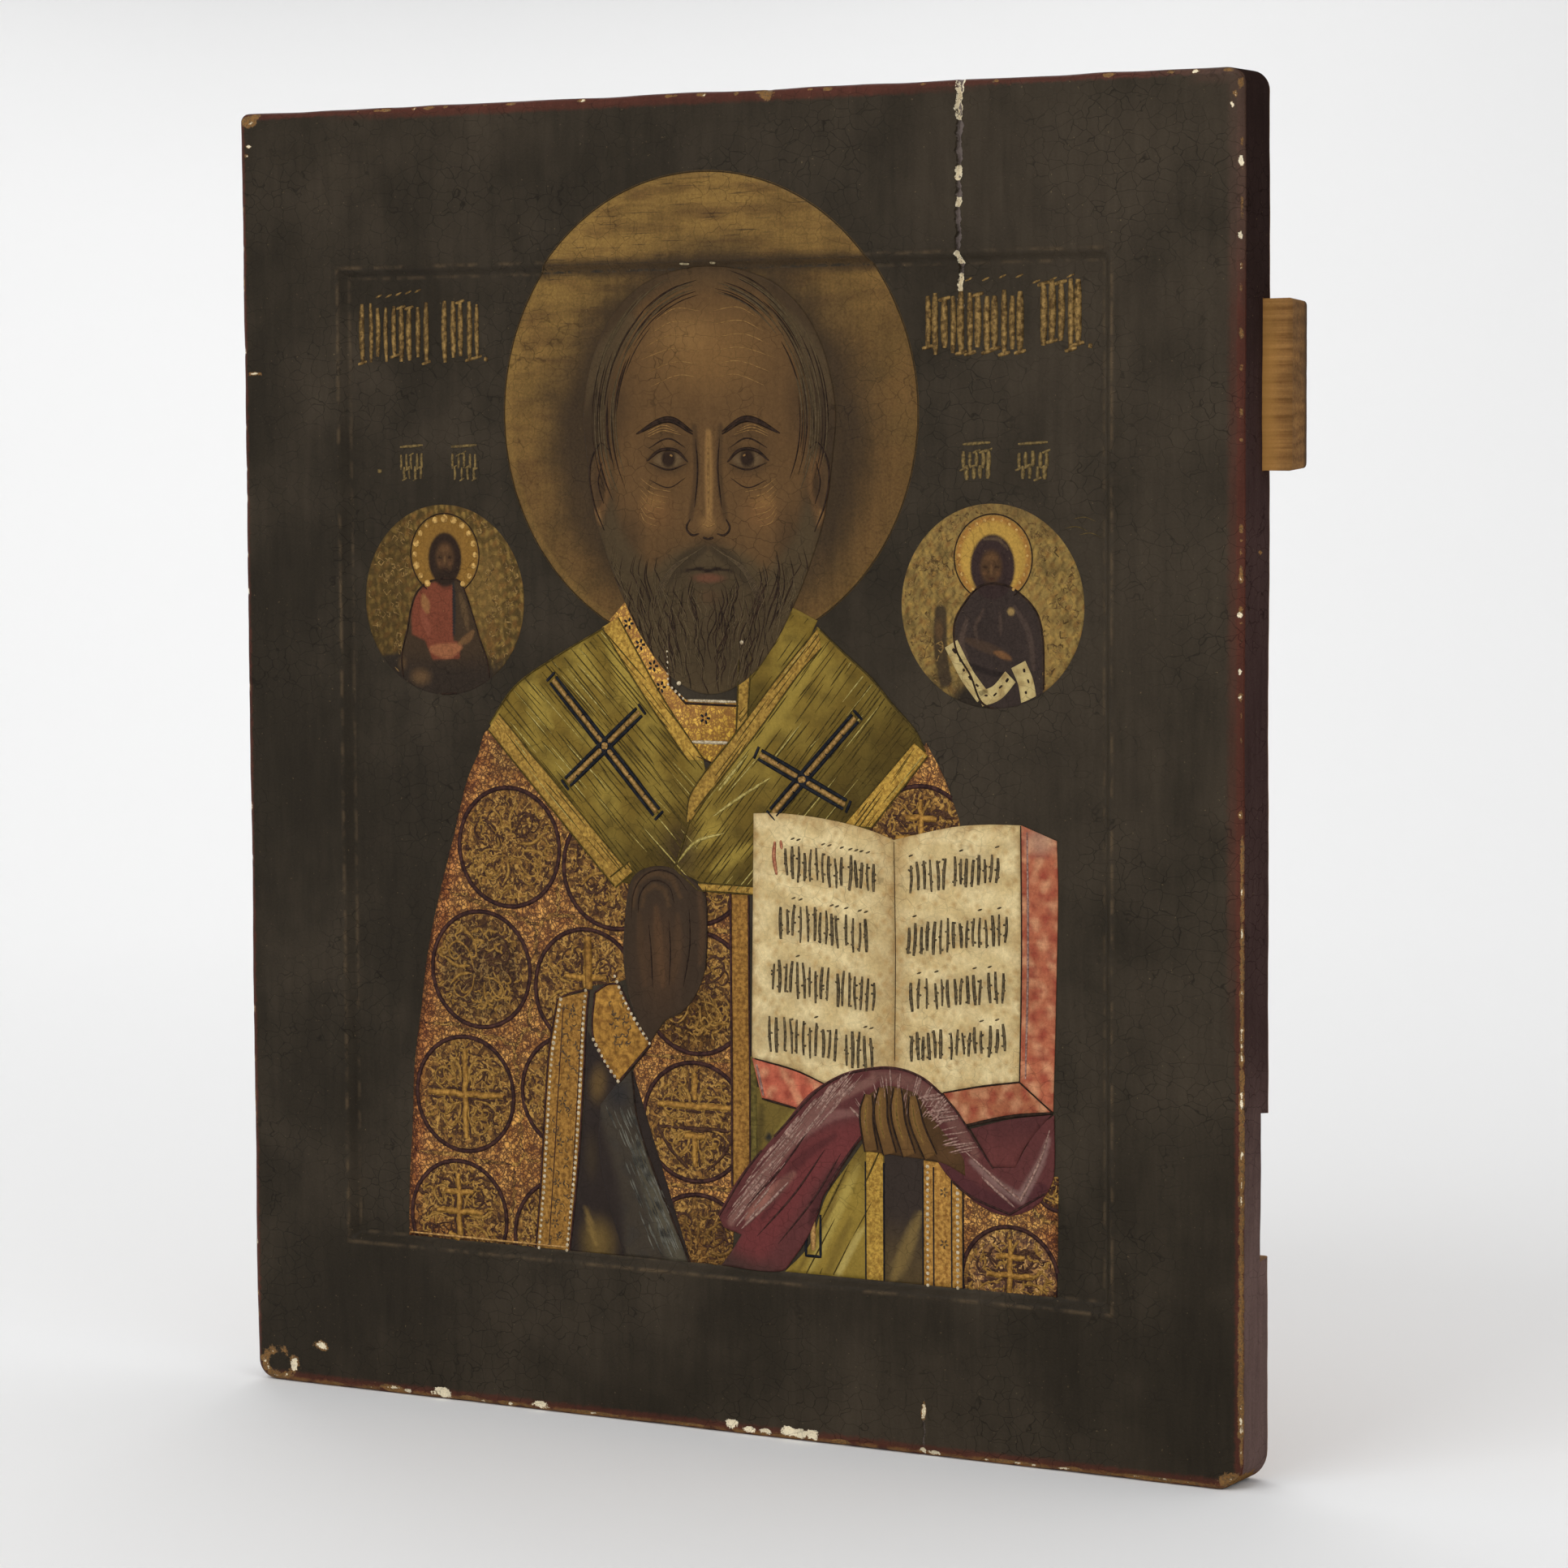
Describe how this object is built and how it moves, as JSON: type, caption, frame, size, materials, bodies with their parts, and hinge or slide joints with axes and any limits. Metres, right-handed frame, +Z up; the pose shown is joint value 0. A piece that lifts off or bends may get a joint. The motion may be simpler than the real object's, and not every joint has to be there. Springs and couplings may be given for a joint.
{
  "type": "icon panel",
  "caption": "Painted wooden icon panel: a rectangular board with a sunken picture field and tapered dovetail battens across its back.",
  "frame": {"origin": "middle of the board's underside, half way through its thickness", "axes": "+X to the right of someone looking at the picture, +Y out of the back of the board, +Z up"},
  "size_m": [0.395, 0.0265, 0.445],
  "materials": {
    "painted_board": "tempera over gesso under darkened varnish, satin",
    "bare_wood": "bare aged softwood, matt"
  },
  "bodies": {
    "root": {"panel": "painted_board", "upper_batten": "bare_wood", "lower_batten": "bare_wood"}
  },
  "joints": []
}
